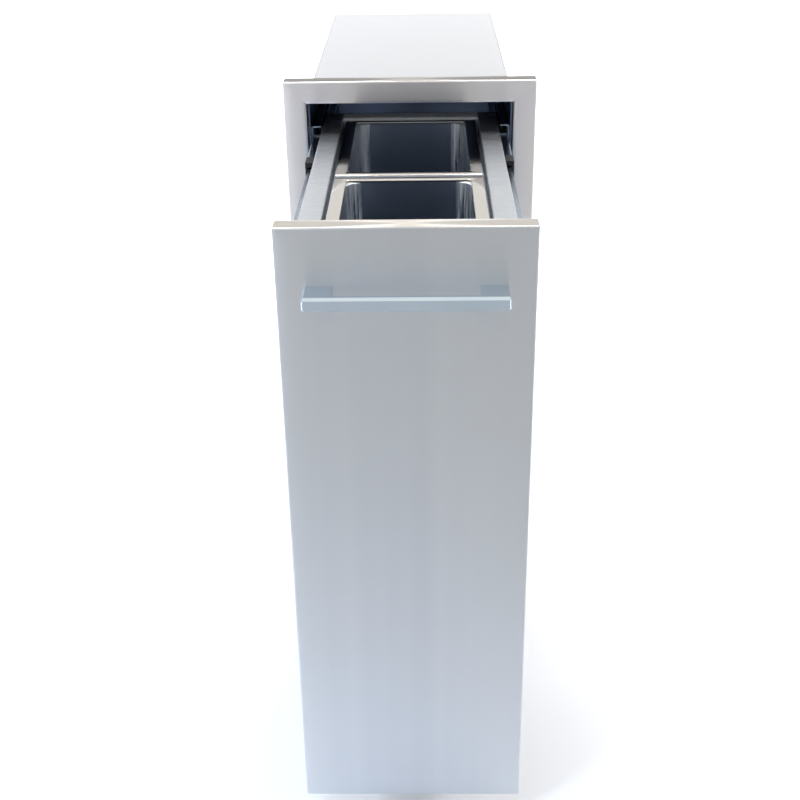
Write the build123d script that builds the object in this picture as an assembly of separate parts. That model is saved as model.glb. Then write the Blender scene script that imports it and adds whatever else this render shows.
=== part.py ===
from build123d import *
import os

# Built-in pull-out trash drawer: a stainless face frame and housing, a tall inset
# front on full-extension ball slides, and two lift-out bins hung in a top ring.
# Frame: X right, +Y to the rear, +Z up. Y = 0 is the seat face at the back of the
# face frame, Z = 0 the frame's bottom edge. Drawn with the drawer pulled out.

# sheet and face frame
sheet = 1.2
frame_width = 282.0
frame_height = 686.0
frame_depth = 21.0
frame_side = 26.0          # border left and right of the opening
frame_end = 25.0           # border above and below the opening
frame_lip = 12.0           # return folded in behind the border
open_half = frame_width / 2 - frame_side
open_low = frame_end
open_high = frame_height - frame_end

# drawer front, inset in the opening when shut
front_gap = 3.2
front_half = open_half - front_gap
front_low = open_low + front_gap
front_high = open_high - front_gap
front_depth = 21.0
front_hem = 10.0
pull = 404.0               # how far the drawer stands open as drawn
front_back = -pull         # back face of the drawer front
front_face = front_back - front_depth

# housing behind the frame
bay_half = 113.7           # inner faces of the two side walls
house_half = bay_half + sheet
house_low = 19.2
house_high = 666.8
house_back = 497.0
house_flange = 128.7       # side wall's front flange reaches this far out

# top ring that carries the bins
ring_top = 628.1
rail_width = 22.3
rail_half = 101.0
rail_in = rail_half - rail_width
rail_skirt = 576.0         # lower edge of the outer wall the slide is fixed to
ledge_top = 614.0
ledge_reach = 10.0
rear_near = 45.4           # rear cross rail
rear_far = 67.8

# ball slides, 18 inch, 12.7 thick
slide_mid_z = 604.2
slide_start = 14.0
slide_length = 457.2
middle_start = 112.0        # the member in between is shorter and sits further in
middle_length = 358.0
stop_length = 22.0
outer_z = 22.8
middle_z = 16.8
inner_z = 10.8
ball_radius = 2.1
cage_length = 112.0
outer_cage_start = 150.0
inner_cage_start = 234.0
ball_pitch = 15.0

# bins
bin_half = 76.0
bin_length = 218.0
bin_mouth_half = 62.7
bin_rim_end = 10.0
bin_top = 626.3
bin_depth = 550.0
bin_wall = 2.0
bin_taper = 10.0           # each side draws in by this much at the floor
bin_corner = 14.0
rim_corner = 3.0           # the folded rim's corners are nearly square
front_bin_start = -400.2
rear_bin_start = -174.8

# handle
grip_half = 87.5
grip_top = 605.9
grip_height = 12.0
grip_thick = 6.0
grip_reach = 28.6
leg_width = 24.5

# fixing holes through the housing sides
hole_radius = 2.5
hole_front = 40.0
hole_rear = 440.0
hole_low = 110.0
hole_high = 510.0

os.makedirs("parts", exist_ok=True)


def block(x0, x1, y0, y1, z0, z1):
    """A box between the given limits, in either order."""
    lo = [min(a, b) for a, b in ((x0, x1), (y0, y1), (z0, z1))]
    hi = [max(a, b) for a, b in ((x0, x1), (y0, y1), (z0, z1))]
    size = [b - a for a, b in zip(lo, hi)]
    mid = [(a + b) / 2 for a, b in zip(lo, hi)]
    return Pos(*mid) * Box(*size)


def rod_x(x0, x1, y, z, radius):
    """A cylinder along X from x0 to x1."""
    body = Rot(0, 90, 0) * Cylinder(radius, abs(x1 - x0))
    return Pos((x0 + x1) / 2, y, z) * body


def rod_y(x, y0, y1, z, radius):
    """A cylinder along Y from y0 to y1."""
    body = Rot(90, 0, 0) * Cylinder(radius, abs(y1 - y0))
    return Pos(x, (y0 + y1) / 2, z) * body


def save(shape, name):
    export_step(shape, "parts/" + name + ".step")


def joined(parts):
    """All the pieces fused into one."""
    whole = parts[0]
    for piece in parts[1:]:
        whole = whole + piece
    return whole


def group(parts):
    """Separate pieces kept in one node."""
    return Compound(children=list(parts))


# face frame: folded sheet, hollow from behind, with a return lip round its outer edge
half = frame_width / 2
ring = block(-half, half, -frame_depth, 0, 0, frame_height)
ring = fillet(ring.edges().filter_by(lambda e: e.center().Y < -frame_depth + 0.01), 1.6)
wall_half = open_half + sheet
wall_low = open_low - sheet
wall_high = open_high + sheet
hollow = block(-half + sheet, half - sheet, -frame_depth + sheet, -sheet,
               sheet, frame_height - sheet)
hollow -= block(-wall_half, wall_half, -frame_depth, 0, wall_low, wall_high)
mouth = block(-half + frame_lip, half - frame_lip, -sheet - 1, 1,
              frame_lip, frame_height - frame_lip)
opening = block(-open_half, open_half, -frame_depth - 1, 1, open_low, open_high)
face_frame = ring - hollow - mouth - opening
save(face_frame, "face_frame")

# housing: two side walls, top, floor and back
for side, name in ((-1, "left"), (1, "right")):
    wall = block(side * bay_half, side * house_half, -sheet, house_back,
                 house_low, house_high)
    wall += block(side * bay_half, side * house_flange, -sheet, 0, frame_lip + 0.3,
                  frame_height - frame_lip - 0.3)
    wall += block(side * (bay_half - frame_lip), side * bay_half, house_back - sheet,
                  house_back, house_low, house_high)
    for y in (hole_front, hole_rear):
        for z in (hole_low, hole_high):
            wall -= rod_x(side * (bay_half - 2), side * (house_half + 2), y, z,
                          hole_radius)
    for y in (40.0, 232.0, 424.0):
        wall -= rod_x(side * (bay_half - 2), side * (house_half + 2), y, slide_mid_z, 2.0)
    save(wall, "housing_" + name)

top = block(-bay_half, bay_half, 0, house_back - sheet, house_high - sheet, house_high)
top += block(-bay_half, bay_half, -sheet, 0, open_high, frame_height - frame_lip - 0.3)
save(top, "housing_top")

floor = block(-bay_half, bay_half, 0, house_back - sheet, house_low, house_low + sheet)
floor += block(-bay_half, bay_half, -sheet, 0, frame_lip + 0.3, open_low)
save(floor, "housing_floor")

back = block(-bay_half, bay_half, house_back - 2 * sheet, house_back - sheet,
             house_low + sheet, house_high - sheet)
for z in (150.0, 460.0):
    back = back - Pos(0, house_back - 1.5 * sheet, z) * Rot(90, 0, 0) * extrude(
        SlotOverall(70, 12), 3, both=True)
save(back, "housing_back")

# drawer front: outer skin folded back and hemmed, and a liner pan closing it
skin = block(-front_half, front_half, front_face, front_back, front_low, front_high)
skin = fillet(skin.edges().filter_by(lambda e: e.center().Y < front_face + 0.01), 2.0)
skin -= block(-front_half + sheet, front_half - sheet, front_face + sheet,
              front_back - sheet, front_low + sheet, front_high - sheet)
skin -= block(-front_half + front_hem, front_half - front_hem, front_back - 2,
              front_back + 1, front_low + front_hem, front_high - front_hem)
for side in (-1, 1):
    skin -= rod_y(side * (grip_half - leg_width / 2), front_face - 1, front_face + 3,
                  grip_top - grip_height / 2, 2.6)
save(skin, "drawer_skin")

pan_half = front_half - front_hem - 0.1
pan_low = front_low + front_hem + 0.1
pan_high = front_high - front_hem - 0.1
liner = block(-pan_half, pan_half, front_back - sheet, front_back, pan_low, pan_high)
rim = block(-front_half + 1.4, front_half - 1.4, front_back - 2 * sheet,
            front_back - sheet, front_low + 1.4, front_high - 1.4)
rim -= block(-pan_half + sheet, pan_half - sheet, front_back - 3, front_back,
             pan_low + sheet, pan_high - sheet)
liner += rim
save(liner, "drawer_liner")

# handle: a flat bevelled grip on two square legs
grip_front = front_face - grip_reach
grip_low = grip_top - grip_height
grip = block(-grip_half, grip_half, grip_front, grip_front + grip_thick, grip_low, grip_top)
grip = chamfer(grip.edges().filter_by(
    lambda e: e.center().Y < grip_front + 0.01 and e.center().Z > grip_top - 0.01), 2.3)
grip = chamfer(grip.edges().filter_by(
    lambda e: e.center().Y < grip_front + 0.01 and e.center().Z < grip_top - 3), 0.8)
save(grip, "handle_grip")
leg_mid = grip_half - leg_width / 2
for side, name in ((-1, "left"), (1, "right")):
    leg = block(side * (grip_half - leg_width), side * (grip_half - 0.3),
                grip_front + grip_thick, front_face, grip_low + 0.3, grip_top - 0.3)
    leg -= rod_y(side * leg_mid, front_face - 12, front_face + 1, grip_top - 6, 2.6)
    save(leg, "handle_leg_" + name)
screws = []
for side in (-1, 1):
    shank = rod_y(side * leg_mid, front_face - 11.5, front_face + sheet + 0.1,
                  grip_top - grip_height / 2, 2.5)
    head = rod_y(side * leg_mid, front_face + sheet, front_face + sheet + 3.2,
                 grip_top - grip_height / 2, 4.8)
    screws.append(shank + head)
save(group(screws), "handle_screws")

# top ring: two side rails, a rear rail, a front rail and the bar between the bins
rail_start = front_back
for side, name in ((-1, "left"), (1, "right")):
    rail = joined([
        block(side * rail_in, side * rail_half, rail_start, rear_far,
              ring_top - sheet, ring_top),
        block(side * (rail_half - sheet), side * rail_half, rail_start, rear_far,
              rail_skirt, ring_top),
        block(side * rail_in, side * (rail_in + sheet), rail_start, rear_far,
              ledge_top - sheet, ring_top),
        block(side * (rail_in - ledge_reach), side * (rail_in + sheet), rail_start,
              rear_near - 0.2, ledge_top - sheet, ledge_top),
    ])
    for y in (-372.0, -180.0, 12.0):
        rail -= rod_x(side * (rail_half - 3), side * (rail_half + 2), y, slide_mid_z, 2.1)
    save(rail, "rail_" + name)

rear = joined([
    block(-rail_in, rail_in, rear_near, rear_far, ring_top - sheet, ring_top),
    block(-rail_in, rail_in, rear_near, rear_near + sheet, ledge_top - sheet, ring_top),
    block(-rail_in, rail_in, rear_far - sheet, rear_far, rail_skirt, ring_top),
    block(-rail_in + ledge_reach + 1, rail_in - ledge_reach - 1,
          rear_near - ledge_reach, rear_near + sheet, ledge_top - sheet, ledge_top),
])
save(rear, "rear_rail")

near = block(-rail_in, rail_in, front_back, front_back + sheet, rail_skirt,
             ledge_top - sheet)
near += block(-rail_in + ledge_reach + 1, rail_in - ledge_reach - 1, front_back,
              front_back + ledge_reach, ledge_top - sheet, ledge_top)
near += block(-rail_in + ledge_reach + 1, rail_in - ledge_reach - 1, front_back,
              front_back + sheet, ledge_top, ring_top)
save(near, "front_rail")

bar_mid = (front_bin_start + bin_length + rear_bin_start) / 2
bar_end = rail_in - ledge_reach - 1.5
bar_half = (rear_bin_start - front_bin_start - bin_length) / 2 - 0.35
bar = joined([
    block(-rail_in + ledge_reach + 1, rail_in - ledge_reach - 1, bar_mid - 10,
          bar_mid + 10, ledge_top - sheet, ledge_top),
    block(-rail_in + ledge_reach + 1, rail_in - ledge_reach - 1, bar_mid - 0.6,
          bar_mid + 0.6, ledge_top - 16, ledge_top),
    block(-rail_in + 0.2, rail_in - 0.2, bar_mid - 10, bar_mid + 10,
          ledge_top - 2 * sheet, ledge_top - sheet),
    block(-bin_half, bin_half, bar_mid - bar_half, bar_mid + bar_half,
          bin_top - 0.6 - sheet, bin_top - 0.6),
    block(-bar_end, bar_end, bar_mid - bar_half, bar_mid - bar_half + sheet,
          ledge_top - sheet, bin_top - 0.6),
    block(-bar_end, bar_end, bar_mid + bar_half - sheet, bar_mid + bar_half,
          ledge_top - sheet, bin_top - 0.6),
])
save(bar, "bin_bar")

# gussets that hold the tall front square to the ring, and a stiffener low down
gusset_reach = 165.0
gusset_drop = 230.0
screw_holes = []
for side, name in ((-1, "left"), (1, "right")):
    web_x = rail_half - sheet
    outline = Polyline((front_back, ring_top - 2 * sheet), (front_back + gusset_reach,
                       ring_top - 2 * sheet), (front_back + gusset_reach, rail_skirt),
                       (front_back + 22, ring_top - gusset_drop),
                       (front_back, ring_top - gusset_drop), close=True)
    plate = extrude(Plane.YZ * make_face(outline), sheet)
    plate = Pos(web_x - sheet if side > 0 else -web_x, 0, 0) * plate
    foot = block(side * (web_x - 18), side * web_x, front_back, front_back + sheet,
                 ring_top - gusset_drop, rail_skirt - 2)
    gusset = plate + foot
    for z in (430.0, 540.0):
        gusset -= rod_y(side * (web_x - 11), front_back - 1, front_back + 3, z, 2.1)
        screw_holes.append((side * (web_x - 11), z))
    for y in (-372.0, ):
        gusset -= rod_x(side * (web_x - 3), side * (web_x + 1), y, slide_mid_z, 2.1)
    save(gusset, "gusset_" + name)
save(group([rod_y(x, front_back + sheet, front_back + sheet + 2.2, z, 3.9) +
            rod_y(x, front_back + 0.05, front_back + sheet + 0.1, z, 2.0)
            for x, z in screw_holes]), "gusset_screws")

brace = joined([
    block(-88, 88, front_back + 10, front_back + 10 + sheet, 190, 216),
    block(-88, 88, front_back, front_back + 10, 190, 190 + sheet),
    block(-88, 88, front_back, front_back + 10, 216 - sheet, 216),
    block(-88, 88, front_back, front_back + sheet, 176, 190 + sheet),
    block(-88, 88, front_back, front_back + sheet, 216 - sheet, 230),
])
save(brace, "front_brace")

# ball slides: a member on the wall, one in between and one on the rail
middle_shift = -pull / 2


def slide_x(side, u):
    """X at a distance u in from the housing wall."""
    return side * (bay_half - u)


def channel(side, web0, web1, lip, reach, y0, y1, thick=1.2):
    """A C-shaped member: a web between web0 and web1, and two flanges out to lip."""
    z = slide_mid_z
    return joined([
        block(slide_x(side, web0), slide_x(side, web1), y0, y1, z - reach, z + reach),
        block(slide_x(side, web0), slide_x(side, lip), y0, y1, z + reach - thick,
              z + reach),
        block(slide_x(side, web0), slide_x(side, lip), y0, y1, z - reach,
              z - reach + thick),
    ])


for side, name in ((-1, "left"), (1, "right")):
    end = slide_start + slide_length
    outer = channel(side, 0, 1.2, 10.6, outer_z, slide_start, end)
    for y in (40.0, 232.0, 424.0):
        outer -= rod_x(slide_x(side, -1), slide_x(side, 2), y, slide_mid_z, 2.0)
    save(outer, "slide_outer_" + name)

    middle = channel(side, 2.4, 3.6, 11.4, middle_z, middle_start + middle_shift,
                     middle_start + middle_length + middle_shift)
    save(middle, "slide_middle_" + name)

    stop_y = middle_start + middle_shift
    stop = block(slide_x(side, 2.4), slide_x(side, 10.6), stop_y - stop_length, stop_y,
                 slide_mid_z - middle_z, slide_mid_z + middle_z)
    stop -= block(slide_x(side, 4.6), slide_x(side, 12), stop_y - stop_length - 1, stop_y + 1,
                  slide_mid_z - inner_z - 1.2, slide_mid_z + inner_z + 1.2)
    save(stop, "slide_stop_" + name)

    inner = channel(side, 12.7, 11.5, 5.4, inner_z, slide_start - pull, end - pull)
    for y in (-372.0, -180.0, 12.0):
        inner -= rod_x(slide_x(side, 11), slide_x(side, 14), y, slide_mid_z, 2.1)
    save(inner, "slide_inner_" + name)

    # cages: a thin strip of balls above and below, joined down the web gap
    for where, share, row_z, web0, web1, ball_u, shut in (
            ("outer", 0.25, (outer_z - 1.2 + middle_z) / 2, 1.55, 2.05, 5.6,
             outer_cage_start),
            ("inner", 0.75, (middle_z - 1.2 + inner_z) / 2, 4.0, 4.5, 8.2,
             inner_cage_start)):
        start = shut - pull * share
        strip = block(slide_x(side, web0), slide_x(side, web1), start,
                      start + cage_length, slide_mid_z - row_z - 0.5,
                      slide_mid_z + row_z + 0.5)
        window = cage_length - 24
        strip -= block(slide_x(side, web0 - 1), slide_x(side, web1 + 1), start + 12,
                       start + 12 + window, slide_mid_z - row_z + 5,
                       slide_mid_z + row_z - 5)
        pieces = [strip]
        for up in (-1, 1):
            z = slide_mid_z + up * row_z
            pieces.append(block(slide_x(side, web0), slide_x(side, ball_u + 2.6), start,
                                start + cage_length, z - 0.5, z + 0.5))
            count = int((cage_length - 7) // ball_pitch) + 1
            for n in range(count):
                y = start + cage_length / 2 + (n - (count - 1) / 2) * ball_pitch
                pieces.append(Pos(slide_x(side, ball_u), y, z) * Sphere(ball_radius))
        save(joined(pieces), "cage_" + where + "_" + name)

    rivets = []
    for y in (40.0, 232.0, 424.0):
        rivet = rod_x(slide_x(side, -1.25), slide_x(side, 1.0), y, slide_mid_z, 1.95)
        rivet += rod_x(slide_x(side, -1.2), slide_x(side, -2.8), y, slide_mid_z, 3.6)
        rivets.append(rivet)
    save(group(rivets), "slide_rivets_" + name)

    bolts = []
    for y in (-372.0, -180.0, 12.0):
        bolt = rod_x(slide_x(side, 9.7), slide_x(side, 11.5), y, slide_mid_z, 3.6)
        bolt += rod_x(slide_x(side, 11.4), slide_x(side, 18.6), y, slide_mid_z, 2.0)
        nut_at = 12.7 + sheet + (sheet if y < -300 else 0)
        nut = Pos(slide_x(side, nut_at + 1.5), y, slide_mid_z) * Rot(0, 90, 0)
        bolt += nut * extrude(RegularPolygon(4.0, 6), 1.5, both=True)
        bolts.append(bolt)
    save(group(bolts), "rail_bolts_" + name)

    # release lever on the rail's member, turning on a short pin
    pin_y = -152.0
    pin = rod_x(slide_x(side, 6.6), slide_x(side, 11.5), pin_y, slide_mid_z, 1.5)
    pin += rod_x(slide_x(side, 5.9), slide_x(side, 6.6), pin_y, slide_mid_z, 2.6)
    save(pin, "lever_pin_" + name)
    lever = rod_x(slide_x(side, 6.9), slide_x(side, 10.9), pin_y, slide_mid_z, 4.4)
    lever += block(slide_x(side, 6.9), slide_x(side, 10.9), pin_y, pin_y + 34,
                   slide_mid_z - 2.6, slide_mid_z + 2.6)
    lever += rod_x(slide_x(side, 6.9), slide_x(side, 10.9), pin_y + 34, slide_mid_z, 2.6)
    lever -= rod_x(slide_x(side, 6), slide_x(side, 12), pin_y, slide_mid_z, 1.8)
    save(lever, "release_lever_" + name)


def bin_shell(start):
    """One bin: a tapered tub with rounded corners under a square-cornered folded rim."""
    mid_y = start + bin_length / 2
    mouth_y = bin_length / 2 - bin_rim_end
    low = bin_top - bin_depth
    rim_under = bin_top - bin_wall

    def tub(grow, top, bottom, upper_corner):
        upper = Pos(0, mid_y, top) * RectangleRounded(
            2 * (bin_mouth_half + grow), 2 * (mouth_y + grow), upper_corner)
        lower = Pos(0, mid_y, bottom) * RectangleRounded(
            2 * (bin_mouth_half + grow - bin_taper), 2 * (mouth_y + grow - bin_taper),
            bin_corner + grow)
        body = loft([lower, upper])
        return fillet(body.faces().sort_by(Axis.Z)[0].edges(), 8 + grow)

    rim = Pos(0, mid_y, ledge_top) * extrude(
        RectangleRounded(2 * bin_half, bin_length, rim_corner), bin_top - ledge_top)
    rim = fillet(rim.faces().sort_by(Axis.Z)[-1].edges(), 1.2)
    rim -= Pos(0, mid_y, ledge_top - 1) * extrude(
        RectangleRounded(2 * (bin_half - bin_wall), bin_length - 2 * bin_wall,
                         rim_corner - bin_wall), bin_top - ledge_top + 1 - bin_wall)
    mouth = Pos(0, mid_y, rim_under - 1) * extrude(
        RectangleRounded(2 * bin_mouth_half, 2 * mouth_y, rim_corner), bin_wall + 2)
    outside = tub(bin_wall, rim_under + 0.5, low, rim_corner + bin_wall)
    inside = tub(0, rim_under, low + bin_wall, bin_corner)
    return (rim + outside - inside) - mouth


save(bin_shell(front_bin_start), "bin_front")
save(bin_shell(rear_bin_start), "bin_rear")
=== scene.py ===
import math

import bpy
import numpy as np
from mathutils import Matrix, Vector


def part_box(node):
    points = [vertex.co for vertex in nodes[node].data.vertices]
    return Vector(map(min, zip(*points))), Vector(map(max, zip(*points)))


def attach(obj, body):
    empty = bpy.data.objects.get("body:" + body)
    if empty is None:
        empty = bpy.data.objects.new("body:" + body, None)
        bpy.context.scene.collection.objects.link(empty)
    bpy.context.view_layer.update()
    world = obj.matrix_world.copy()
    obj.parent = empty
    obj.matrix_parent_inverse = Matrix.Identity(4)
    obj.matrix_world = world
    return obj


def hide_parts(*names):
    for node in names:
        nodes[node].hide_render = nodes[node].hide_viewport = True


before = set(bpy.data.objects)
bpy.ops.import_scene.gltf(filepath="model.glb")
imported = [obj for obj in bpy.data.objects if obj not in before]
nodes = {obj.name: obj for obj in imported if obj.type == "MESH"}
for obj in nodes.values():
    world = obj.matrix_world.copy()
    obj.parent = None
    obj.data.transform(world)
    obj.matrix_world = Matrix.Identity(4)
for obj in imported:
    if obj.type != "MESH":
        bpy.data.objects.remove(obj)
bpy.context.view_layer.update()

mm = 0.001
print("frame loaded,", len(nodes), "nodes")


# shapes: every function works on whole arrays and returns points, faces and corner UVs

def linearColour(hexCode):
    # sRGB channel c becomes c / 12.92 below 0.04045, and ((c + 0.055) / 1.055) to the 2.4 above
    c = np.array([int(hexCode[i:i + 2], 16) for i in (1, 3, 5)]) / 255
    low, high = c / 12.92, ((c + 0.055) / 1.055) ** 2.4
    return tuple(float(v) for v in np.where(c <= 0.04045, low, high)) + (1.0,)


def bentLine(corners, radius, steps=6):
    # each inner corner of a polyline becomes an arc: its centre lies on the bisector,
    # radius / sin(half angle) from the corner, and the arc turns from one run to the next
    p = np.array(corners, float)
    a, b = p[:-2] - p[1:-1], p[2:] - p[1:-1]
    a /= np.linalg.norm(a, axis=1, keepdims=True)
    b /= np.linalg.norm(b, axis=1, keepdims=True)
    half = np.arccos(np.clip((a * b).sum(1), -1, 1)) / 2
    r = np.broadcast_to(np.asarray(radius, float), half.shape)
    mid = (a + b) / np.linalg.norm(a + b, axis=1, keepdims=True)
    centre = p[1:-1] + mid * (r / np.sin(half))[:, None]
    start = p[1:-1] + a * (r / np.tan(half))[:, None] - centre
    end = p[1:-1] + b * (r / np.tan(half))[:, None] - centre
    cross = start[:, 0] * end[:, 1] - start[:, 1] * end[:, 0]
    turn = np.arctan2(cross, (start * end).sum(1))
    t = np.linspace(0, 1, steps + 1)[None, :] * turn[:, None]
    x = start[:, :1] * np.cos(t) - start[:, 1:] * np.sin(t)
    y = start[:, :1] * np.sin(t) + start[:, 1:] * np.cos(t)
    arcs = centre[:, None, :] + np.stack([x, y], -1)
    return np.concatenate([p[:1], arcs.reshape(-1, 2), p[-1:]])


def sheetLoop(line, thickness):
    # a folded sheet's closed section: the line offset half the thickness to each side,
    # along the mean normal of the two runs that meet at each point
    run = np.diff(line, axis=0)
    run /= np.linalg.norm(run, axis=1, keepdims=True)
    side = np.stack([-run[:, 1], run[:, 0]], 1)
    mean = np.concatenate([side[:1], side[:-1] + side[1:], side[-1:]])
    mean /= np.linalg.norm(mean, axis=1, keepdims=True)
    stretch = np.concatenate([[1], 1 / (mean[1:-1] * side[1:]).sum(1), [1]])[:, None]
    off = mean * stretch * thickness / 2
    return np.concatenate([line + off, (line - off)[::-1]])


def roundedRing(halfA, halfB, radius, steps=6):
    # a rectangle with quarter-circle corners, the same number of points whatever its size
    t = np.linspace(0, math.pi / 2, steps + 1)
    quarter = np.stack([np.cos(t), np.sin(t)], 1) * radius
    turned = [quarter, quarter[:, ::-1] * [-1, 1], -quarter, quarter[:, ::-1] * [1, -1]]
    signs = [(1, 1), (-1, 1), (-1, -1), (1, -1)]
    parts = [q + np.array(s) * [halfA - radius, halfB - radius]
             for q, s in zip(turned, signs)]
    return np.concatenate(parts)


def gridShape(points, wrapRows=False):
    # points[row, column] joined into quads; each row is a closed loop, and the first and
    # last rows are capped unless they are joined to each other. UV u is the length from
    # row to row and v the length along a row, both in metres. The volume is the sum of
    # the triangles' triple products, negative when the faces point inwards
    rows, cols = points.shape[:2]
    r = np.arange(rows if wrapRows else rows - 1)
    c = np.arange(cols)
    r, c = (k.ravel() for k in np.meshgrid(r, c, indexing="ij"))
    at = lambda i, j: ((r + i) % rows) * cols + (c + j) % cols
    quads = np.stack([at(0, 0), at(1, 0), at(1, 1), at(0, 1)], 1)
    rowStep = np.linalg.norm(np.roll(points, -1, 0) - points, axis=2).max(1)
    colStep = np.linalg.norm(np.roll(points, -1, 1) - points, axis=2).max(0)
    u = np.concatenate([[0], np.cumsum(rowStep)])
    v = np.concatenate([[0], np.cumsum(colStep)])
    uv = np.stack([np.stack([u[r + i], v[c + j]], 1)
                   for i, j in ((0, 0), (1, 0), (1, 1), (0, 1))], 1)
    verts = points.reshape(-1, 3)
    a, b, d, e = (verts[quads[:, k]] for k in range(4))
    volume = (np.cross(a, b) * d).sum() + (np.cross(a, d) * e).sum()
    faces, corners = quads.tolist(), uv.reshape(-1, 2).tolist()
    if not wrapRows:
        for loop in (np.arange(cols), (np.arange(cols) + (rows - 1) * cols)[::-1]):
            faces.append(loop.tolist())
            corners += [[0.0, 0.0]] * cols
            fan = verts[loop]
            volume += (np.cross(fan[0], fan[1:-1]) * fan[2:]).sum()
    return verts, faces, corners, volume


def flipped(shape):
    # every face's corners, and their UVs, in the opposite order
    verts, faces, corners, volume = shape
    out, at = [], 0
    for face in faces:
        out += corners[at:at + len(face)][::-1]
        at += len(face)
    return verts, [f[::-1] for f in faces], out, -volume


def balls(centres, radius, rows=8, cols=10):
    # latitude and longitude grids shifted to each centre, with flat caps near the poles
    capLatitude = 1.45
    lat = np.linspace(-capLatitude, capLatitude, rows)
    lon = np.linspace(0, 2 * math.pi, cols, endpoint=False)
    unit = np.stack([np.cos(lat)[:, None] * np.cos(lon), np.cos(lat)[:, None] * np.sin(lon),
                     np.sin(lat)[:, None] + 0 * lon], -1) * radius
    return [gridShape((unit + np.array(c)) * mm) for c in centres]


def addPiece(name, shapes, material, body, replaced=(), smooth=32):
    # joins shapes into one object, turns each outwards and shades it smooth up to an angle
    verts, faces, corners = [], [], []
    count = 0
    for shape in shapes:
        v, f, c, volume = shape if shape[3] >= 0 else flipped(shape)
        verts.append(v)
        faces += [[i + count for i in face] for face in f]
        corners += c
        count += len(v)
    mesh = bpy.data.meshes.new(name)
    mesh.from_pydata(np.concatenate(verts).tolist(), [], faces)
    layer = mesh.uv_layers.new(name="sheetUV")
    layer.data.foreach_set("uv", np.array(corners, np.float32).ravel())
    mesh.materials.append(material)
    mesh.shade_smooth()
    mesh.set_sharp_from_angle(angle=math.radians(smooth))
    mesh.validate()
    piece = bpy.data.objects.new(name, mesh)
    bpy.context.scene.collection.objects.link(piece)
    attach(piece, body)
    if replaced:
        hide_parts(*replaced)
    return piece


def addNode(tree, kind, settings=None, links=None):
    # one shader node: settings are properties or input values, links feed its inputs
    node = tree.nodes.new(kind)
    for key, value in (settings or {}).items():
        if isinstance(key, int) or key in node.inputs:
            node.inputs[key].default_value = value
        else:
            setattr(node, key, value)
    for key, source in (links or {}).items():
        tree.links.new(source, node.inputs[key])
    return node


def newMaterial(name):
    material = bpy.data.materials.new(name)
    material.use_nodes = True
    tree = material.node_tree
    tree.nodes.clear()
    return material, tree


# finishes

def paintedInsideShade(tree, colour, place, look):
    # the faces that look towards the middle of the housing's mouth, where the normal's dot
    # product with the way out from there is negative, take a darker painted shade for the unlit
    # inside
    low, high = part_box("face_frame")
    mouth = ((low[0] + high[0]) / 2, low[1], (low[2] + high[2]) / 2)
    outward = addNode(tree, "ShaderNodeVectorMath", {"operation": "SUBTRACT", 1: mouth},
                      {0: place})
    normal = addNode(tree, "ShaderNodeNewGeometry").outputs["True Normal"]
    facing = addNode(tree, "ShaderNodeVectorMath", {"operation": "DOT_PRODUCT"},
                     {0: outward.outputs[0], 1: normal})
    inward = addNode(tree, "ShaderNodeMapRange", {"From Min": 0.0, "From Max": -4 * mm},
                     {"Value": facing.outputs["Value"]})
    mixed = addNode(tree, "ShaderNodeMix", {"data_type": "RGBA",
                                            7: linearColour(look["inside"])},
                    {0: inward.outputs[0], 6: colour})
    return mixed.outputs[2]


def brushedSteel(name, look):
    # 304 stainless rolled and then brushed with a belt: thousands of parallel scratches
    # along the grain smear each reflection across it and keep it sharp along it
    material, tree = newMaterial(name)
    place = addNode(tree, "ShaderNodeTexCoord").outputs["Object"]
    scratch = addNode(tree, "ShaderNodeMapping", {"Scale": look["scratch"]},
                      {"Vector": place})
    lines = addNode(tree, "ShaderNodeTexNoise", {"Scale": 1.0, "Detail": 4.0,
                                                 "Roughness": 0.6},
                    {"Vector": scratch.outputs[0]})
    wide = addNode(tree, "ShaderNodeMapping", {"Scale": look["band"]}, {"Vector": place})
    bands = addNode(tree, "ShaderNodeTexNoise", {"Scale": 1.0, "Detail": 2.0},
                    {"Vector": wide.outputs[0]})
    tone = addNode(tree, "ShaderNodeMix", {"data_type": "RGBA",
                                           6: linearColour(look["dark"]),
                                           7: linearColour(look["light"])},
                   {0: bands.outputs[0]})
    # faces that look up, such as the folded upper edges, take a painted tone for how light
    # falls on them
    facing = addNode(tree, "ShaderNodeSeparateXYZ", None,
                     {0: addNode(tree, "ShaderNodeNewGeometry").outputs["True Normal"]})
    upward = addNode(tree, "ShaderNodeMapRange", {"From Min": 0.8, "From Max": 0.95},
                     {"Value": facing.outputs["Z"]})
    paintedTopTone = addNode(tree, "ShaderNodeMix", {"data_type": "RGBA",
                                             7: linearColour(look.get("edge", look["light"]))},
                     {0: upward.outputs[0], 6: tone.outputs[2]})
    # faces inside the housing take the painted shade colour
    if "inside" in look:
        tinted = paintedInsideShade(tree, paintedTopTone.outputs[2], place, look)
    else:
        tinted = paintedTopTone.outputs[2]
    rough = addNode(tree, "ShaderNodeMapRange",
                    {"To Min": look["rough"] * 0.82, "To Max": look["rough"] * 1.18},
                    {"Value": lines.outputs[0]})
    relief = addNode(tree, "ShaderNodeBump", {"Strength": look["relief"],
                                              "Distance": 0.2 * mm},
                     {"Height": lines.outputs[0]})
    if look["grain"] == "UV":
        tangent = addNode(tree, "ShaderNodeTangent", {"direction_type": "UV_MAP",
                                                      "uv_map": "sheetUV"})
    else:
        tangent = addNode(tree, "ShaderNodeTangent", {"direction_type": "RADIAL",
                                                      "axis": look["grain"]})
    shader = addNode(tree, "ShaderNodeBsdfPrincipled",
                     {"Metallic": 1.0, "Anisotropic": look["smear"],
                      "Anisotropic Rotation": look.get("turn", 0.25)},
                     {"Base Color": tinted, "Roughness": rough.outputs[0],
                      "Normal": relief.outputs[0], "Tangent": tangent.outputs[0]})
    addNode(tree, "ShaderNodeOutputMaterial", None, {"Surface": shader.outputs[0]})
    return material


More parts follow.
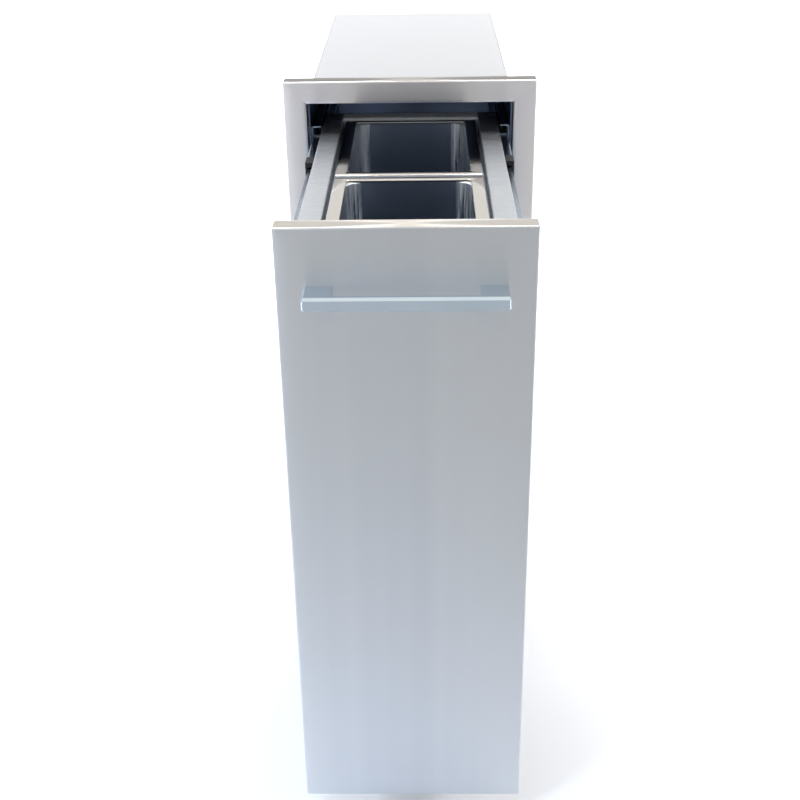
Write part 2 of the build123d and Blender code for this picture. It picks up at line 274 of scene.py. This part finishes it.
def plainMetal(name, look):
    # plated or drawn steel: one roughness with a faint mottling, its size in millimetres
    material, tree = newMaterial(name)
    place = addNode(tree, "ShaderNodeTexCoord").outputs["Object"]
    mottle = addNode(tree, "ShaderNodeTexNoise", {"Scale": 1 / (look["mottle"] * mm),
                                                  "Detail": 3.0},
                     {"Vector": place})
    tone = addNode(tree, "ShaderNodeMix", {"data_type": "RGBA",
                                           6: linearColour(look["dark"]),
                                           7: linearColour(look["light"])},
                   {0: mottle.outputs[0]})
    rough = addNode(tree, "ShaderNodeMapRange",
                    {"To Min": look["rough"] * 0.8, "To Max": look["rough"] * 1.2},
                    {"Value": mottle.outputs[0]})
    relief = addNode(tree, "ShaderNodeBump", {"Strength": look["relief"],
                                              "Distance": 0.2 * mm},
                     {"Height": mottle.outputs[0]})
    shader = addNode(tree, "ShaderNodeBsdfPrincipled", {"Metallic": 1.0},
                     {"Base Color": tone.outputs[2], "Roughness": rough.outputs[0],
                      "Normal": relief.outputs[0]})
    addNode(tree, "ShaderNodeOutputMaterial", None, {"Surface": shader.outputs[0]})
    return material


def binSteel(name, node, look):
    # deep-drawn stainless: the flats keep a mirror-like mill finish, the upright corners
    # are ground after welding: rougher, and painted paler in vertical streaks for the light
    # they scatter
    material, tree = newMaterial(name)
    low, high = (np.array(k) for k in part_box(node))
    centre = (low + high) / 2
    half = (high - low) / 2
    place = addNode(tree, "ShaderNodeTexCoord").outputs["Object"]
    local = addNode(tree, "ShaderNodeMapping",
                    {"Location": (-centre[0], -centre[1], -high[2])}, {"Vector": place})
    part = addNode(tree, "ShaderNodeSeparateXYZ", None, {0: local.outputs[0]})
    stretched = addNode(tree, "ShaderNodeMapping", {"Scale": look["streak"]},
                        {"Vector": place})
    streaks = addNode(tree, "ShaderNodeTexNoise", {"Scale": 1.0, "Detail": 3.0},
                      {"Vector": stretched.outputs[0]})
    nearX, nearY = half[0] - look["reachX"], half[1] - look["reachY"]
    sides = []
    for axis, start in (("X", nearX), ("Y", nearY)):
        size = addNode(tree, "ShaderNodeMath", {"operation": "ABSOLUTE"},
                       {0: part.outputs[axis]})
        sides.append(addNode(tree, "ShaderNodeMapRange",
                             {"From Min": start, "From Max": start + look["soft"]},
                             {"Value": size.outputs[0]}))
    both = addNode(tree, "ShaderNodeMath", {"operation": "MULTIPLY"},
                   {0: sides[0].outputs[0], 1: sides[1].outputs[0]})
    below = addNode(tree, "ShaderNodeMapRange",
                    {"From Min": -look["rim"], "From Max": -look["rim"] - 0.5 * mm},
                    {"Value": part.outputs["Z"]})
    ground = addNode(tree, "ShaderNodeMath", {"operation": "MULTIPLY"},
                     {0: both.outputs[0], 1: below.outputs[0]})
    patchy = addNode(tree, "ShaderNodeMapRange", {"From Min": 0.3, "From Max": 0.6},
                     {"Value": streaks.outputs[0]})
    amount = addNode(tree, "ShaderNodeMath", {"operation": "MULTIPLY"},
                     {0: ground.outputs[0], 1: patchy.outputs[0]})
    flat = addNode(tree, "ShaderNodeMapRange", {"To Min": look["rimRough"],
                                                "To Max": look["rough"]},
                   {"Value": below.outputs[0]})
    rough = addNode(tree, "ShaderNodeMapRange", {"To Max": look["groundRough"]},
                    {"Value": amount.outputs[0], "To Min": flat.outputs[0]})
    # the ground corners are painted paler, painted light for what they scatter
    tone = addNode(tree, "ShaderNodeMix", {"data_type": "RGBA",
                                           6: linearColour(look["dark"]),
                                           7: linearColour(look["light"])},
                   {0: amount.outputs[0]})
    # the rim above the turn takes the warm painted highlight
    turned = addNode(tree, "ShaderNodeMix", {"data_type": "RGBA",
                                             6: linearColour(look["rimHighlightTone"])},
                     {0: below.outputs[0], 7: tone.outputs[2]})
    relief = addNode(tree, "ShaderNodeBump", {"Strength": look["relief"],
                                              "Distance": 0.2 * mm},
                     {"Height": streaks.outputs[0]})
    shader = addNode(tree, "ShaderNodeBsdfPrincipled", {"Metallic": 1.0},
                     {"Base Color": turned.outputs[2], "Roughness": rough.outputs[0],
                      "Normal": relief.outputs[0]})
    addNode(tree, "ShaderNodeOutputMaterial", None, {"Surface": shader.outputs[0]})
    return material


def mouldedPlastic(name, look):
    # injection-moulded acetal: near-black, a fine spark-eroded texture dulls its gloss
    material, tree = newMaterial(name)
    place = addNode(tree, "ShaderNodeTexCoord").outputs["Object"]
    grit = addNode(tree, "ShaderNodeTexNoise", {"Scale": 1 / (0.6 * mm), "Detail": 2.0},
                   {"Vector": place})
    relief = addNode(tree, "ShaderNodeBump", {"Strength": 0.3, "Distance": 0.1 * mm},
                     {"Height": grit.outputs[0]})
    rough = addNode(tree, "ShaderNodeMapRange", {"To Min": 0.38, "To Max": 0.55},
                    {"Value": grit.outputs[0]})
    shader = addNode(tree, "ShaderNodeBsdfPrincipled",
                     {"Base Color": linearColour(look["colour"]), "IOR": 1.48},
                     {"Roughness": rough.outputs[0], "Normal": relief.outputs[0]})
    addNode(tree, "ShaderNodeOutputMaterial", None, {"Surface": shader.outputs[0]})
    return material


across, along = 1 / (0.9 * mm), 1 / (90 * mm)     # scratch spacing drawn coarse enough to show
bandStep = 1 / (34 * mm)
steelLook = {
    "light": "#e6eaee", "dark": "#dadfe5", "rough": 0.38, "relief": 0.012, "smear": 0.93,
    "scratch": (along, along, across), "band": (bandStep, bandStep, 0.5), "grain": "Z"}
# long fine scratches across the front draw each reflection out into an upright smear
# its upward faces take a cream painted highlight
frontSteel = brushedSteel("brushed stainless front", dict(steelLook, edge="#e9e4dc"))
# the same belt finish on paler sheet; its upward faces take a darker warm painted shade
frameSteel = brushedSteel("brushed stainless face frame", dict(
    steelLook, light="#f3f2f4", dark="#e6e4e8", edge="#a5a19d"))
# mill sheet as it left the rolls: soft grey outside; the unlit inside takes a nearly black-blue
# painted shade
wallSteel = brushedSteel("mill stainless housing wall", dict(
    steelLook, light="#b2b7bd", dark="#9aa1a9", rough=0.34, smear=0.6, inside="#6c7890"))
# thin rolled strip, a little glossier than the walls
bracketSteel = brushedSteel("mill stainless brackets", dict(
    steelLook, light="#b9c3cf", dark="#a5b0bd", rough=0.2, smear=0.3))
# fine scratches from side to side and soft wide bands running back give one pale sheen
topSteel = brushedSteel("mill stainless housing top", dict(
    steelLook, light="#dadcdf", dark="#cbced2", rough=0.33, smear=0.5, grain="Y",
    # the faces inside the housing take a dark blue-grey painted shade
    inside="#66728a",
    scratch=(along, across, along), band=(1 / (70 * mm), 0.8, 0.5)))
ringSteelLook = dict(steelLook, light="#d9dde2", dark="#ccd1d7", rough=0.27, smear=0.6,
                     grain="UV",
                     scratch=(along, across, along), band=(0.5, 1 / (60 * mm), 0.5))
# rails brushed across their width draw reflections out along them, bright to grey
railSteel = brushedSteel("brushed stainless rail", dict(ringSteelLook, turn=0.0))
# the cross rail is ground dull, so it still catches light inside the dark opening, and its
# paler base adds painted light there
crossSteel = brushedSteel("brushed stainless cross rail", dict(
    ringSteelLook, light="#f6f8fa", dark="#eceff2", rough=0.8, smear=0.0))
# finely satined bar: crisp bevel lines; the pale blue base is a painted reflection of cool
# light on the flat face
handleSteel = brushedSteel("satin stainless handle", dict(
    steelLook, light="#dcebf8", dark="#cfdfee", rough=0.22, smear=0.5, grain="UV",
    relief=0.01))
# bright zinc plate on rolled steel: bluish, with a soft mottle
slideZinc = plainMetal("zinc plated slide", {
    "light": "#c3ced9", "dark": "#9fb0c0", "rough": 0.16, "relief": 0.05, "mottle": 6.25})
# hardened and polished: small sharp glints
ballSteel = plainMetal("bright ball bearing steel", {
    "light": "#d7dadd", "dark": "#c6cacf", "rough": 0.1, "relief": 0.0, "mottle": 11.11})
# screw and rivet heads straight from the lathe: greyer and duller
fastenerSteel = plainMetal("turned stainless fasteners", {
    "light": "#c8cacd", "dark": "#a9adb2", "rough": 0.3, "relief": 0.1, "mottle": 3.333})
# the tubs mirror their own dark insides; their turned rims are polished, with a warm painted
# highlight
tubLook = {"dark": "#bcc6d4", "light": "#f2f4f6", "rough": 0.22, "rimRough": 0.08,
           "rimHighlightTone": "#e9e6df", "groundRough": 0.6,
           "streak": (1 / (2.2 * mm), 1 / (2.2 * mm), 1 / (55 * mm)), "relief": 0.03,
           "reachX": 29 * mm, "reachY": 26 * mm, "soft": 2.5 * mm, "rim": 2.2 * mm}
blackPlastic = mouldedPlastic("black acetal", {"colour": "#15161a"})


def paint(material, *names):
    # a finish for the nodes that keep their own shape
    for name in names:
        for slot in nodes[name].material_slots:
            slot.material = material


paint(wallSteel, "housing_left", "housing_right", "housing_back")
paint(topSteel, "housing_top", "housing_floor")
paint(frontSteel, "drawer_liner", "front_brace")
paint(bracketSteel, "gusset_left", "gusset_right", "front_rail", "bin_bar")
paint(fastenerSteel, "lever_pin_left", "lever_pin_right", "gusset_screws", "handle_screws",
      "rail_bolts_left", "rail_bolts_right", "slide_rivets_left", "slide_rivets_right")
paint(blackPlastic, "slide_stop_left", "slide_stop_right", "release_lever_left",
      "release_lever_right")
print("finishes made")


# face frame: one folded section carried round the opening

def ringStack(rings, centre, flat):
    # rings of (half width, half height, corner radius, level) stacked into one surface;
    # flat "xz" puts levels along Y, "xy" along Z
    loops = np.stack([roundedRing(a, b, r) for a, b, r, _ in rings])
    level = np.array([k for *_, k in rings])[:, None] + 0 * loops[..., 0]
    first, second = loops[..., 0] + centre[0], loops[..., 1] + centre[1]
    order = (first, level, second) if flat == "xz" else (first, second, level)
    return np.stack(order, -1) * mm


frameLook = {"sheet": 1.2, "side": 26.0, "end": 25.0, "lip": 12.0, "bend": 1.6,
             "mouthBend": 3.4, "innerCorner": 0.4, "cornerGrowth": 1.2}


def makeFaceFrame(look):
    # the section runs from the lip behind the border, round the outer edge, across the
    # front and back along the opening; u is the distance out from the opening's edge, and
    # each point of the section is carried round the opening as a rounded rectangle
    low, high = (np.array(k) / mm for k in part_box("face_frame"))
    half = (high - low) / 2
    openHalf = half[0] - look["side"], half[2] - look["end"]
    t, s = look["sheet"], look["sheet"] / 2
    width = look["side"]
    line = bentLine([(width - look["lip"], high[1] - s), (width - s, high[1] - s),
                     (width - s, low[1] + s), (s, low[1] + s), (s, high[1] - t)],
                    [look["bend"], look["bend"], look["mouthBend"]])
    section = sheetLoop(line, t)
    ratio = look["end"] / look["side"]
    corner = look["innerCorner"] + look["cornerGrowth"] * np.maximum(section[:, 0], 0) / width
    rings = [(openHalf[0] + u, openHalf[1] + u * ratio, c, y)
             for (u, y), c in zip(section, corner)]
    points = ringStack(rings, ((low[0] + high[0]) / 2, (low[2] + high[2]) / 2), "xz")
    return gridShape(points, wrapRows=True)


addPiece("faceFrame", [makeFaceFrame(frameLook)], frameSteel, "housing",
         ["face_frame"])


# drawer front: a tray folded back at its edges and hemmed

frontLook = {"sheet": 1.2, "bend": 2.2, "hemBend": 1.0, "hem": 10.0, "corner": 1.2,
             "flat": 14.0, "cornerGrowth": 0.02, "arcSteps": 8}


def makeFrontSkin(look):
    # rings from the middle of the face outwards, round the edge, back along the side,
    # in under the hem, and the same again one sheet thickness inside
    a, b = (np.array(k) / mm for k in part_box("drawer_skin"))
    half, centre, t = (b - a) / 2, (a + b) / 2, look["sheet"]
    s = t / 2
    line = bentLine([(-look["flat"], a[1] + s), (-s, a[1] + s), (-s, b[1] - s),
                     (-look["hem"], b[1] - s)], [look["bend"] - s, look["hemBend"]],
                    look["arcSteps"])
    loop = sheetLoop(line, t)
    corner = look["corner"] + np.maximum(-loop[:, 0], 0) * look["cornerGrowth"]
    rings = [(half[0] + u, half[2] + u, c, y) for (u, y), c in zip(loop, corner)]
    return gridShape(ringStack(rings, (centre[0], centre[2]), "xz"))


addPiece("frontSkin", [makeFrontSkin(frontLook)], frontSteel, "drawer",
         ["drawer_skin"])
print("frame and front made")

# handle: flat bevelled grip and two square legs

handleLook = {"topBevel": 2.3, "bevel": 0.8, "end": 1.1, "legBevel": 1.3, "edge": 0.4}


def makeGrip(look):
    # a rectangle with bevelled front corners carried along X, its ends drawn in a little
    a, b = (np.array(k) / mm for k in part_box("handle_grip"))
    t, s, k = look["topBevel"], look["bevel"], look["edge"]
    section = np.array([(b[1], b[2] - k), (b[1] - k, b[2]), (a[1] + t, b[2]),
                        (a[1], b[2] - t), (a[1], a[2] + s), (a[1] + s, a[2]),
                        (b[1] - k, a[2]), (b[1], a[2] + k)])
    middle = section.mean(0)
    e = look["end"]
    shrink = 1 - 2 * e / (b - a)[[1, 2]]
    x = np.array([a[0], a[0] + e, b[0] - e, b[0]])
    scale = np.stack([shrink, (1, 1), (1, 1), shrink])[:, None, :]
    grid = middle + (section - middle)[None] * scale
    points = np.concatenate([(x[:, None] + 0 * grid[..., 0])[..., None], grid], -1)
    return gridShape(points * mm)


def makeLeg(name, side, look):
    # a square post carried along Y; its outer top edge has the grip's end bevel
    a, b = (np.array(k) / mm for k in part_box(name))
    outer, inner = (b[0], a[0]) if side > 0 else (a[0], b[0])
    k, e = look["legBevel"], look["edge"]
    section = np.array([(outer, b[2] - k), (outer - side * k, b[2]),
                        (inner + side * e, b[2]), (inner, b[2] - e),
                        (inner, a[2] + e), (inner + side * e, a[2]),
                        (outer - side * e, a[2]), (outer, a[2] + e)])
    y = np.array([a[1], b[1]])[:, None]
    points = np.stack([section[:, 0] + 0 * y, y + 0 * section[:, 0],
                       section[:, 1] + 0 * y], -1)
    return gridShape(points * mm)


addPiece("handleGrip", [makeGrip(handleLook)], handleSteel, "drawer",
         ["handle_grip"], smooth=20)
for side, word in ((-1, "left"), (1, "right")):
    addPiece("handleLeg" + word.title(), [makeLeg("handle_leg_" + word, side, handleLook)],
             handleSteel, "drawer", ["handle_leg_" + word])

# top ring: folded rails with bend radii

ringLook = {"sheet": 1.2, "bend": 1.4, "ledge": 10.0, "ledgeTop": 614.0}


def makeRail(side, look):
    # outer wall, top, inner wall and bin ledge as one folded sheet carried along Y
    name = "rail_left" if side < 0 else "rail_right"
    a, b = (np.array(k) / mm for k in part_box(name))
    s, ledge = look["sheet"] / 2, look["ledge"]
    low = look["ledgeTop"] - s
    far = max(abs(a[0]), abs(b[0])) - s
    near = min(abs(a[0]), abs(b[0])) + ledge + s
    line = bentLine([(far, a[2]), (far, b[2] - s), (near, b[2] - s), (near, low),
                     (near - ledge - s, low)], look["bend"])
    loop = sheetLoop(line, look["sheet"])
    y = np.array([a[1], b[1]])
    grid = np.broadcast_to(loop, (2,) + loop.shape)
    points = np.stack([side * grid[..., 0], y[:, None] + 0 * grid[..., 0], grid[..., 1]], -1)
    return gridShape(points * mm)


for side, word in ((-1, "left"), (1, "right")):
    addPiece("rail" + word.title(), [makeRail(side, ringLook)], railSteel, "drawer",
             ["rail_" + word])


def makeRearRail(look):
    # the same fold turned to run across, its rear wall as deep as the side rails'
    a, b = (np.array(k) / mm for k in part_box("rear_rail"))
    s, ledge = look["sheet"] / 2, look["ledge"]
    low = look["ledgeTop"] - s
    near = a[1] + ledge + s
    line = bentLine([(b[1] - s, a[2]), (b[1] - s, b[2] - s), (near, b[2] - s),
                     (near, low), (near - ledge - s, low)], look["bend"])
    loop = sheetLoop(line, look["sheet"])
    x = np.array([a[0], b[0]])
    grid = np.broadcast_to(loop, (2,) + loop.shape)
    points = np.concatenate([(x[:, None] + 0 * grid[..., 0])[..., None], grid], -1)
    return gridShape(points * mm)


addPiece("rearRail", [makeRearRail(ringLook)], crossSteel, "drawer",
         ["rear_rail"])
print("handle and ring made")

# bins: drawn tubs with a turned-down rim

binLook = {"wall": 2.0, "taper": 10.0, "corner": 14.0, "floor": 9.0, "rimCorner": 3.0,
           "mouthX": 62.7, "rimEnd": 10.0, "ledge": ringLook["ledgeTop"], "web": 3.0,
           "foot": 12.0, "skirtBend": 1.2, "lipBend": 0.9, "foldGap": 0.1, "foldIn": 0.6,
           "foldCorner": 1.2, "foldDrop": 0.8, "skirtCorner": 1.0, "leastCorner": 0.5,
           "leastFloorCorner": 2.0, "wallRows": 7, "arcRows": 5}


def makeBin(name, look):
    # rings up the outside, round the folded rim and down the inside; each floor edge is
    # an arc, and the square mouth meets the rounded wall in a small flat web
    a, b = (np.array(k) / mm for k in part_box(name))
    half, centre, w = (b - a) / 2, (a + b) / 2, look["wall"]
    mouth = np.array([look["mouthX"], half[1] - look["rimEnd"]])
    depth, top, rim = b[2] - a[2], b[2], look["rimCorner"]

    def wall(grow, z, upperCorner):
        # straight sides drawing in evenly with depth, corners going over to the lower one
        part = (top - z) / depth
        corner = upperCorner + (look["corner"] + grow - upperCorner) * part
        inset = grow - look["taper"] * part
        return [(mouth[0] + i, mouth[1] + i, c, k) for i, c, k in zip(inset, corner, z)]

    def floorArc(grow, level):
        # a quarter round from the flat floor up to where the wall starts
        f = look["floor"]
        t = np.linspace(0, math.pi / 2, look["wallRows"])
        inset = grow - look["taper"] - f * (1 - np.sin(t))
        corner = np.maximum(look["corner"] + grow - f * (1 - np.sin(t)),
                            look["leastFloorCorner"])
        return [(mouth[0] + i, mouth[1] + i, c, k)
                for i, c, k in zip(inset, corner, level + f * (1 - np.cos(t)))]

    outer = floorArc(w, a[2])
    outer += wall(w, np.linspace(a[2] + look["foot"], top - w - look["foldGap"],
                                 look["wallRows"]), rim + w)
    skirtX, skirtY, c = half[0] - w, half[1] - w, look["skirtCorner"]
    under = [(skirtX - look["foldIn"], skirtY - look["foldIn"], look["foldCorner"],
              top - w - look["foldGap"]),
             (skirtX, skirtY, c, top - w - look["foldDrop"]),
             (skirtX, skirtY, c, look["ledge"]),
             (half[0], half[1], rim, look["ledge"])]
    t = np.linspace(0, math.pi / 2, look["arcRows"])
    e = look["skirtBend"]
    skirt = [(half[0] - k, half[1] - k, max(rim - k, look["leastCorner"]), top - e + e * h)
             for k, h in zip(e * (1 - np.cos(t)), np.sin(t))]
    e = look["lipBend"]
    edge = [(mouth[0] + k, mouth[1] + k, rim + k, top - e * (1 - h))
            for k, h in zip(e * (1 - np.sin(t)), np.cos(t))]
    edge += [(mouth[0], mouth[1], rim, top - w)]
    inner = wall(0, np.linspace(top - look["web"], a[2] + w + look["foot"],
                                look["wallRows"]), look["corner"])
    rings = outer + under + skirt + edge + inner + floorArc(0, a[2] + w)[::-1]
    return gridShape(ringStack(rings, (centre[0], centre[1]), "xy"))


for word in ("front", "rear"):
    addPiece("bin" + word.title(), [makeBin("bin_" + word, binLook)],
             binSteel("drawn stainless tub " + word, "bin_" + word, tubLook),
             "bin_" + word, ["bin_" + word], smooth=40)
print("bins made")

# ball slides: three rolled members a side, with caged balls between

slideLook = {"wall": 113.7, "middle": 604.2, "sheet": 1.2, "bend": 1.8}
memberLook = {"outer": {"web": 0.6, "tip": 10.6, "reach": 22.8},
              "middle": {"web": 3.0, "tip": 11.4, "reach": 16.8},
              "inner": {"web": 12.1, "tip": 5.4, "reach": 10.8}}


def makeMember(node, side, look, member):
    # a C section with rounded corners, carried along Y between the member's ends; web and
    # tip are distances in from the housing wall, reach is half the section's height
    web, tip, reach = member["web"], member["tip"], member["reach"]
    a, b = (np.array(k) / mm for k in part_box(node))
    s = look["sheet"] / 2
    z = look["middle"]
    line = bentLine([(tip, z + reach - s), (web, z + reach - s), (web, z - reach + s),
                     (tip, z - reach + s)], look["bend"])
    loop = sheetLoop(line, look["sheet"])
    grid = np.broadcast_to(loop, (2,) + loop.shape)
    y = np.array([a[1], b[1]])
    points = np.stack([side * (look["wall"] - grid[..., 0]),
                       y[:, None] + 0 * grid[..., 0], grid[..., 1]], -1)
    return gridShape(points * mm)


cageLook = {"strip": 0.5, "bend": 1.0, "hook": 2.4, "balls": 8, "pitch": 15.0, "ball": 2.1}
rowLook = {"outer": {"web": 1.8, "rise": 19.2, "ballIn": 5.6},
           "inner": {"web": 4.25, "rise": 13.2, "ballIn": 8.2}}


def makeCage(node, side, look, cage, row):
    # a thin strip above and below with its balls, joined by a web between the members; web
    # and ballIn are distances in from the housing wall, rise is half the rows' spacing
    web, rise, ballIn = row["web"], row["rise"], row["ballIn"]
    a, b = (np.array(k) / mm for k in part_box(node))
    z, y = look["middle"], np.array([a[1], b[1]])
    hook = ballIn + cage["hook"]
    line = bentLine([(hook, z + rise), (web, z + rise), (web, z - rise), (hook, z - rise)],
                    cage["bend"])
    loop = sheetLoop(line, cage["strip"])
    grid = np.broadcast_to(loop, (2,) + loop.shape)
    points = np.stack([side * (look["wall"] - grid[..., 0]),
                       y[:, None] + 0 * grid[..., 0], grid[..., 1]], -1)
    places = (np.arange(cage["balls"]) - (cage["balls"] - 1) / 2) * cage["pitch"] + y.mean()
    centres = [(side * (look["wall"] - ballIn), k, z + up * rise)
               for k in places for up in (-1, 1)]
    return [gridShape(points * mm)] + balls(centres, cage["ball"])


for side, word in ((-1, "left"), (1, "right")):
    title = word.title()
    for part, body in (("outer", "housing"), ("middle", "middle_" + word),
                       ("inner", "drawer")):
        node = "slide_%s_%s" % (part, word)
        addPiece("slide" + part + title, [makeMember(node, side, slideLook, memberLook[part])],
                 slideZinc, body, [node])
    for part in ("outer", "inner"):
        node = "cage_%s_%s" % (part, word)
        addPiece("cage" + part.title() + title,
                 makeCage(node, side, slideLook, cageLook, rowLook[part]), ballSteel, node,
                 [node])
print("slides made")

# floor, light and camera

def addStage(name, centre, size, colour):
    # one flat quad in a matt paint, so light falls off over it without a gloss
    mesh = bpy.data.meshes.new(name)
    x, y, z = centre
    a, b = size
    mesh.from_pydata([(x - a, y - b, z), (x + a, y - b, z), (x + a, y + b, z),
                      (x - a, y + b, z)], [], [(0, 1, 2, 3)])
    floor = bpy.data.objects.new(name, mesh)
    bpy.context.scene.collection.objects.link(floor)
    material, tree = newMaterial(name)
    shader = addNode(tree, "ShaderNodeBsdfPrincipled",
                     {"Base Color": linearColour(colour), "Roughness": 0.9,
                      "Specular IOR Level": 0.1})
    addNode(tree, "ShaderNodeOutputMaterial", None, {"Surface": shader.outputs[0]})
    mesh.materials.append(material)
    return floor


addStage("paleFloor", (0, 4.0, -0.001), (14, 14), "#dcddde")

# soft boxes over the floor behind and beside the unit, whose narrow spread keeps them out
# of the top faces' reflections, and faint ones in front
lightLook = {
    "backFloor": {"at": (0.0, 3.2, 3.4), "aim": (0, 3.2, 0), "size": (6.0, 3.4),
                  "power": 255, "spread": 82, "colour": "#ffffff"},
    "leftFloor": {"at": (-1.5, 0.5, 2.2), "aim": (-1.4, 0.5, 0), "size": (1.6, 2.0),
                  "power": 23, "spread": 84, "colour": "#d6e5fd"},
    "rightFloor": {"at": (1.5, 0.5, 2.2), "aim": (1.4, 0.5, 0), "size": (1.6, 2.0),
                   "power": 19, "spread": 84, "colour": "#efeffa"},
    "leftFoot": {"at": (-0.95, 0.3, 2.4), "aim": (-0.9, 0.2, 0), "size": (1.1, 1.4),
                 "power": 5.5, "spread": 44, "colour": "#fffdf6"},
    "rightFoot": {"at": (0.95, 0.3, 2.4), "aim": (0.9, 0.2, 0), "size": (1.1, 1.4),
                  "power": 5.5, "spread": 44, "colour": "#fffdf6"},
    "baseFill": {"at": (-0.8, -1.15, 1.3), "aim": (-0.02, -0.52, 0), "size": (0.4, 0.4),
                 "power": 0.46, "spread": 24, "colour": "#c9deff"},
    "overhead": {"at": (0.0, -1.35, 2.72), "aim": (0, -0.45, 0.6), "size": (2.6, 0.9),
                 "power": 3, "spread": 180, "colour": "#fff3e2"},
    "leftWindow": {"at": (-1.7, -4.2, 1.0), "aim": (0, -0.4, 0.6), "size": (1.4, 2.2),
                   "power": 14, "spread": 180, "colour": "#eef4ff"}}
for name, look in lightLook.items():
    data = bpy.data.lights.new(name, "AREA")
    data.shape, data.size, data.size_y = "RECTANGLE", *look["size"]
    data.energy, data.color = look["power"], linearColour(look["colour"])[:3]
    data.spread = math.radians(look["spread"])
    lamp = bpy.data.objects.new(name, data)
    bpy.context.scene.collection.objects.link(lamp)
    at, aim = np.array(look["at"]), np.array(look["aim"])
    toward = (aim - at) / np.linalg.norm(aim - at)
    right = np.cross(toward, (0, 0.01, 1))
    right = right / np.linalg.norm(right)
    up = np.cross(right, toward)
    lamp.matrix_world = Matrix([(right[i], up[i], -toward[i], at[i]) for i in range(3)]
                               + [(0, 0, 0, 1)])

# a studio with a bright backdrop and a dimmer room behind the camera
skyLook = {"colour": "#fbfaf8", "front": 0.54, "back": 0.84}
world = bpy.data.worlds.new("studio")
world.use_nodes = True
world.node_tree.nodes.clear()
skyTree = world.node_tree
skyWay = addNode(skyTree, "ShaderNodeTexCoord").outputs["Generated"]
skyPart = addNode(skyTree, "ShaderNodeSeparateXYZ", None, {0: skyWay})
skyStep = addNode(skyTree, "ShaderNodeMapRange",
                  {"interpolation_type": "SMOOTHSTEP", "From Min": -0.9, "From Max": 0.7,
                   "To Min": skyLook["front"], "To Max": skyLook["back"]},
                  {"Value": skyPart.outputs["Y"]})
sky = addNode(skyTree, "ShaderNodeBackground", {"Color": linearColour(skyLook["colour"])},
              {"Strength": skyStep.outputs[0]})
addNode(skyTree, "ShaderNodeOutputWorld", None, {"Surface": sky.outputs[0]})
bpy.context.scene.world = world

# the view from in front and a little above the open drawer, angles in radians
cameraLook = {"at": (0.0160, -1.4182, 1.0053), "yaw": -0.023, "pitch": 0.473,
              "roll": 0.016, "lens": 56.59, "sensor": 36.0, "near": 0.05, "far": 60.0}


def makeCamera(look):
    # forward from yaw and pitch, then the right and down directions turned by roll
    yaw, pitch, roll = look["yaw"], look["pitch"], look["roll"]
    forward = np.array([math.sin(yaw) * math.cos(pitch), math.cos(yaw) * math.cos(pitch),
                        -math.sin(pitch)])
    level = np.array([math.cos(yaw), -math.sin(yaw), 0])
    down = np.cross(forward, level)
    right = math.cos(roll) * level + math.sin(roll) * down
    down = -math.sin(roll) * level + math.cos(roll) * down
    data = bpy.data.cameras.new("camera")
    data.lens, data.sensor_width = look["lens"], look["sensor"]
    data.clip_start, data.clip_end = look["near"], look["far"]
    camera = bpy.data.objects.new("camera", data)
    bpy.context.scene.collection.objects.link(camera)
    rows = [(right[i], -down[i], -forward[i], look["at"][i]) for i in range(3)]
    camera.matrix_world = Matrix(rows + [(0, 0, 0, 1)])
    bpy.context.scene.camera = camera


makeCamera(cameraLook)
bpy.context.scene.view_settings.view_transform = "Standard"   # whites come out white
print("stage and camera ready")
